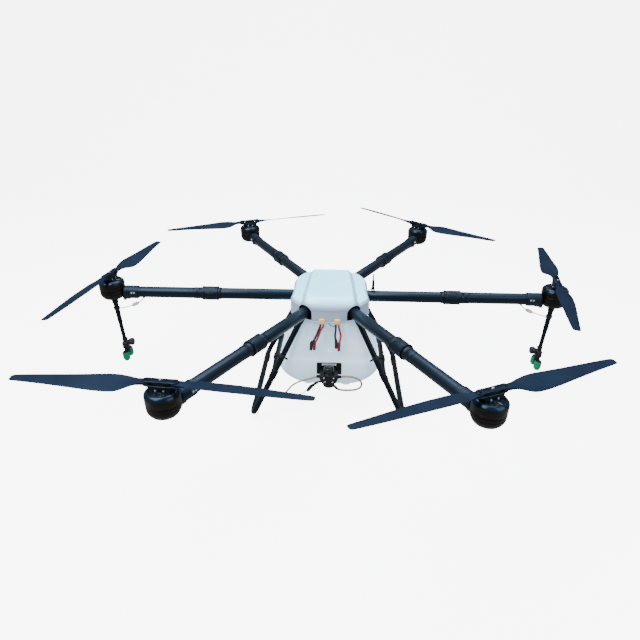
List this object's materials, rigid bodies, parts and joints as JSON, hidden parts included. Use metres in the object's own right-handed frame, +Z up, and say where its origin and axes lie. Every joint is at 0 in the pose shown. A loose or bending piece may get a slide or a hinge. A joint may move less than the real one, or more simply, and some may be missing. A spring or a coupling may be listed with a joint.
{
  "type": "agricultural spray drone",
  "caption": "Folding multirotor crop sprayer: radial arms with folding propellers, slung liquid tank, pump, skid landing gear and drop nozzles under the side motors",
  "frame": {"origin": "centre of the flat underside of the lower centre plate, the face the payload hangs from", "axes": "+Z up, -Y towards the front of the drone (the pump side), +X towards its right-hand side when seen from the front; the six arms lie in a plane 26 mm above the origin"},
  "size_m": [1.7372, 1.8386, 0.4548],
  "materials": {
    "carbon_tube": "Carbon-fibre tube with a satin clear coat",
    "black_anodised": "Black anodised aluminium",
    "motor_grey": "Dark grey anodised aluminium motor housing",
    "rotor_clamp": "Dark anodised motor can and propeller clamp",
    "blade_composite": "Blue-black moulded carbon-nylon composite",
    "cover_plastic": "Pale sky-blue translucent moulded plastic",
    "carbon_plate": "Carbon-fibre plate",
    "tank_hdpe": "Milky translucent blow-moulded polyethylene",
    "cap_black": "Black moulded plastic",
    "pump_black": "Black moulded plastic and painted metal",
    "leg_black": "Black coated tube",
    "battery_lead": "Silicone-sheathed battery cable",
    "nozzle_green": "Green moulded nozzle caps",
    "lance_black": "Black moulded tube and valve",
    "controller_grey": "Grey moulded electronics case"
  },
  "bodies": {
    "airframe": {"top_cover": "cover_plastic", "upper_plate": "carbon_plate", "lower_plate": "carbon_plate", "flight_controller": "controller_grey", "antenna": "lance_black", "tank": "tank_hdpe", "pump_bracket": "pump_black", "pump": "pump_black", "battery_lead_left": "battery_lead", "battery_lead_right": "battery_lead", "leg_frame_left": "leg_black", "leg_frame_right": "leg_black", "inner_arm_fl": "carbon_tube", "inner_arm_fr": "carbon_tube", "inner_arm_r": "carbon_tube", "inner_arm_br": "carbon_tube", "inner_arm_bl": "carbon_tube", "inner_arm_l": "carbon_tube"},
    "arm_fl": {"outer_arm_fl": "carbon_tube", "motor_mount_fl": "motor_grey"},
    "sleeve_fl": {"lock_sleeve_fl": "black_anodised"},
    "rotor_fl": {"rotor_fl": "rotor_clamp"},
    "blade_fl_a": {"blade_fl_a": "blade_composite"},
    "blade_fl_b": {"blade_fl_b": "blade_composite"},
    "arm_fr": {"outer_arm_fr": "carbon_tube", "motor_mount_fr": "motor_grey"},
    "sleeve_fr": {"lock_sleeve_fr": "black_anodised"},
    "rotor_fr": {"rotor_fr": "rotor_clamp"},
    "blade_fr_a": {"blade_fr_a": "blade_composite"},
    "blade_fr_b": {"blade_fr_b": "blade_composite"},
    "arm_r": {"outer_arm_r": "carbon_tube", "motor_mount_r": "motor_grey", "spray_drop_r": "lance_black"},
    "sleeve_r": {"lock_sleeve_r": "black_anodised"},
    "rotor_r": {"rotor_r": "rotor_clamp"},
    "blade_r_a": {"blade_r_a": "blade_composite"},
    "blade_r_b": {"blade_r_b": "blade_composite"},
    "nozzle_r": {"nozzle_r": "nozzle_green"},
    "arm_br": {"outer_arm_br": "carbon_tube", "motor_mount_br": "motor_grey"},
    "sleeve_br": {"lock_sleeve_br": "black_anodised"},
    "rotor_br": {"rotor_br": "rotor_clamp"},
    "blade_br_a": {"blade_br_a": "blade_composite"},
    "blade_br_b": {"blade_br_b": "blade_composite"},
    "arm_bl": {"outer_arm_bl": "carbon_tube", "motor_mount_bl": "motor_grey"},
    "sleeve_bl": {"lock_sleeve_bl": "black_anodised"},
    "rotor_bl": {"rotor_bl": "rotor_clamp"},
    "blade_bl_a": {"blade_bl_a": "blade_composite"},
    "blade_bl_b": {"blade_bl_b": "blade_composite"},
    "arm_l": {"outer_arm_l": "carbon_tube", "motor_mount_l": "motor_grey", "spray_drop_l": "lance_black"},
    "sleeve_l": {"lock_sleeve_l": "black_anodised"},
    "rotor_l": {"rotor_l": "rotor_clamp"},
    "blade_l_a": {"blade_l_a": "blade_composite"},
    "blade_l_b": {"blade_l_b": "blade_composite"},
    "nozzle_l": {"nozzle_l": "nozzle_green"},
    "tank_cap": {"tank_cap": "cap_black"}
  },
  "joints": [
    {"name": "fold_fl", "type": "hinge", "parent": "airframe", "child": "arm_fl", "pos_m": [-0.24092, -0.38629, 0.026], "axis": [0, 0, -1], "range_deg": [0, 110]},
    {"name": "unlock_fl", "type": "slide", "parent": "airframe", "child": "sleeve_fl", "axis": [0.5, 0.866, 0], "range_m": [0, 0.0601]},
    {"name": "spin_fl", "type": "hinge", "parent": "arm_fl", "child": "rotor_fl", "pos_m": [-0.4, -0.69282, 0.026], "axis": [0, 0, 1], "continuous": true},
    {"name": "blade_fold_fl_a", "type": "hinge", "parent": "rotor_fl", "child": "blade_fl_a", "pos_m": [-0.43588, -0.68987, 0.0928], "axis": [0, 0, -1], "range_deg": [0, 88.2]},
    {"name": "blade_fold_fl_b", "type": "hinge", "parent": "rotor_fl", "child": "blade_fl_b", "pos_m": [-0.36412, -0.69577, 0.0928], "axis": [0, 0, 1], "range_deg": [0, 88.2]},
    {"name": "fold_fr", "type": "hinge", "parent": "airframe", "child": "arm_fr", "pos_m": [0.21408, -0.40179, 0.026], "axis": [0, 0, -1], "range_deg": [0, 110]},
    {"name": "unlock_fr", "type": "slide", "parent": "airframe", "child": "sleeve_fr", "axis": [-0.5, 0.866, 0], "range_m": [0, 0.0601]},
    {"name": "spin_fr", "type": "hinge", "parent": "arm_fr", "child": "rotor_fr", "pos_m": [0.4, -0.69282, 0.026], "axis": [0, 0, 1], "continuous": true},
    {"name": "blade_fold_fr_a", "type": "hinge", "parent": "rotor_fr", "child": "blade_fr_a", "pos_m": [0.36711, -0.70746, 0.0928], "axis": [0, 0, -1], "range_deg": [0, 88.2]},
    {"name": "blade_fold_fr_b", "type": "hinge", "parent": "rotor_fr", "child": "blade_fr_b", "pos_m": [0.43289, -0.67818, 0.0928], "axis": [0, 0, 1], "range_deg": [0, 88.2]},
    {"name": "fold_r", "type": "hinge", "parent": "airframe", "child": "arm_r", "pos_m": [0.455, -0.0155, 0.026], "axis": [0, 0, -1], "range_deg": [0, 110]},
    {"name": "unlock_r", "type": "slide", "parent": "airframe", "child": "sleeve_r", "axis": [-1, 0, 0], "range_m": [0, 0.0601]},
    {"name": "spin_r", "type": "hinge", "parent": "arm_r", "child": "rotor_r", "pos_m": [0.8, 0, 0.026], "axis": [0, 0, 1], "continuous": true},
    {"name": "blade_fold_r_a", "type": "hinge", "parent": "rotor_r", "child": "blade_r_a", "pos_m": [0.80675, 0.03536, 0.0928], "axis": [0, 0, 1], "range_deg": [0, 88.2]},
    {"name": "blade_fold_r_b", "type": "hinge", "parent": "rotor_r", "child": "blade_r_b", "pos_m": [0.79325, -0.03536, 0.0928], "axis": [0, 0, -1], "range_deg": [0, 88.2]},
    {"name": "swivel_r", "type": "hinge", "parent": "arm_r", "child": "nozzle_r", "pos_m": [0.7866, 0, -0.21539], "axis": [0.061, 0, 0.9981], "range_deg": [-90, 90]},
    {"name": "fold_br", "type": "hinge", "parent": "airframe", "child": "arm_br", "pos_m": [0.24092, 0.38629, 0.026], "axis": [0, 0, -1], "range_deg": [0, 110]},
    {"name": "unlock_br", "type": "slide", "parent": "airframe", "child": "sleeve_br", "axis": [-0.5, -0.866, 0], "range_m": [0, 0.0601]},
    {"name": "spin_br", "type": "hinge", "parent": "arm_br", "child": "rotor_br", "pos_m": [0.4, 0.69282, 0.026], "axis": [0, 0, 1], "continuous": true},
    {"name": "blade_fold_br_a", "type": "hinge", "parent": "rotor_br", "child": "blade_br_a", "pos_m": [0.37348, 0.71716, 0.0928], "axis": [0, 0, 1], "range_deg": [0, 88.2]},
    {"name": "blade_fold_br_b", "type": "hinge", "parent": "rotor_br", "child": "blade_br_b", "pos_m": [0.42652, 0.66848, 0.0928], "axis": [0, 0, -1], "range_deg": [0, 88.2]},
    {"name": "fold_bl", "type": "hinge", "parent": "airframe", "child": "arm_bl", "pos_m": [-0.21408, 0.40179, 0.026], "axis": [0, 0, -1], "range_deg": [0, 110]},
    {"name": "unlock_bl", "type": "slide", "parent": "airframe", "child": "sleeve_bl", "axis": [0.5, -0.866, 0], "range_m": [0, 0.0601]},
    {"name": "spin_bl", "type": "hinge", "parent": "arm_bl", "child": "rotor_bl", "pos_m": [-0.4, 0.69282, 0.026], "axis": [0, 0, 1], "continuous": true},
    {"name": "blade_fold_bl_a", "type": "hinge", "parent": "rotor_bl", "child": "blade_bl_a", "pos_m": [-0.43317, 0.67884, 0.0928], "axis": [0, 0, 1], "range_deg": [0, 88.2]},
    {"name": "blade_fold_bl_b", "type": "hinge", "parent": "rotor_bl", "child": "blade_bl_b", "pos_m": [-0.36683, 0.7068, 0.0928], "axis": [0, 0, -1], "range_deg": [0, 88.2]},
    {"name": "fold_l", "type": "hinge", "parent": "airframe", "child": "arm_l", "pos_m": [-0.455, 0.0155, 0.026], "axis": [0, 0, -1], "range_deg": [0, 110]},
    {"name": "unlock_l", "type": "slide", "parent": "airframe", "child": "sleeve_l", "axis": [1, 0, 0], "range_m": [0, 0.0601]},
    {"name": "spin_l", "type": "hinge", "parent": "arm_l", "child": "rotor_l", "pos_m": [-0.8, 0, 0.026], "axis": [0, 0, 1], "continuous": true},
    {"name": "blade_fold_l_a", "type": "hinge", "parent": "rotor_l", "child": "blade_l_a", "pos_m": [-0.80526, -0.03561, 0.0928], "axis": [0, 0, 1], "range_deg": [0, 88.2]},
    {"name": "blade_fold_l_b", "type": "hinge", "parent": "rotor_l", "child": "blade_l_b", "pos_m": [-0.79474, 0.03561, 0.0928], "axis": [0, 0, -1], "range_deg": [0, 88.2]},
    {"name": "swivel_l", "type": "hinge", "parent": "arm_l", "child": "nozzle_l", "pos_m": [-0.7866, 0, -0.21539], "axis": [-0.061, 0, 0.9981], "range_deg": [-90, 90]},
    {"name": "cap_turn", "type": "hinge", "parent": "airframe", "child": "tank_cap", "pos_m": [0, 0.1523, -0.088], "axis": [0, 1, 0], "range_deg": [0, 90]}
  ],
  "couplings": [
    {"joint": "unlock_fl", "follows": "fold_fl", "m_per_rad": 0.031252},
    {"joint": "blade_fold_fl_a", "follows": "fold_fl", "ratio": 0.8},
    {"joint": "blade_fold_fl_b", "follows": "fold_fl", "ratio": 0.8},
    {"joint": "unlock_fr", "follows": "fold_fr", "m_per_rad": 0.031252},
    {"joint": "blade_fold_fr_a", "follows": "fold_fr", "ratio": 0.8},
    {"joint": "blade_fold_fr_b", "follows": "fold_fr", "ratio": 0.8},
    {"joint": "unlock_r", "follows": "fold_r", "m_per_rad": 0.031252},
    {"joint": "blade_fold_r_a", "follows": "fold_r", "ratio": 0.8},
    {"joint": "blade_fold_r_b", "follows": "fold_r", "ratio": 0.8},
    {"joint": "unlock_br", "follows": "fold_br", "m_per_rad": 0.031252},
    {"joint": "blade_fold_br_a", "follows": "fold_br", "ratio": 0.8},
    {"joint": "blade_fold_br_b", "follows": "fold_br", "ratio": 0.8},
    {"joint": "unlock_bl", "follows": "fold_bl", "m_per_rad": 0.031252},
    {"joint": "blade_fold_bl_a", "follows": "fold_bl", "ratio": 0.8},
    {"joint": "blade_fold_bl_b", "follows": "fold_bl", "ratio": 0.8},
    {"joint": "unlock_l", "follows": "fold_l", "m_per_rad": 0.031252},
    {"joint": "blade_fold_l_a", "follows": "fold_l", "ratio": 0.8},
    {"joint": "blade_fold_l_b", "follows": "fold_l", "ratio": 0.8}
  ]
}
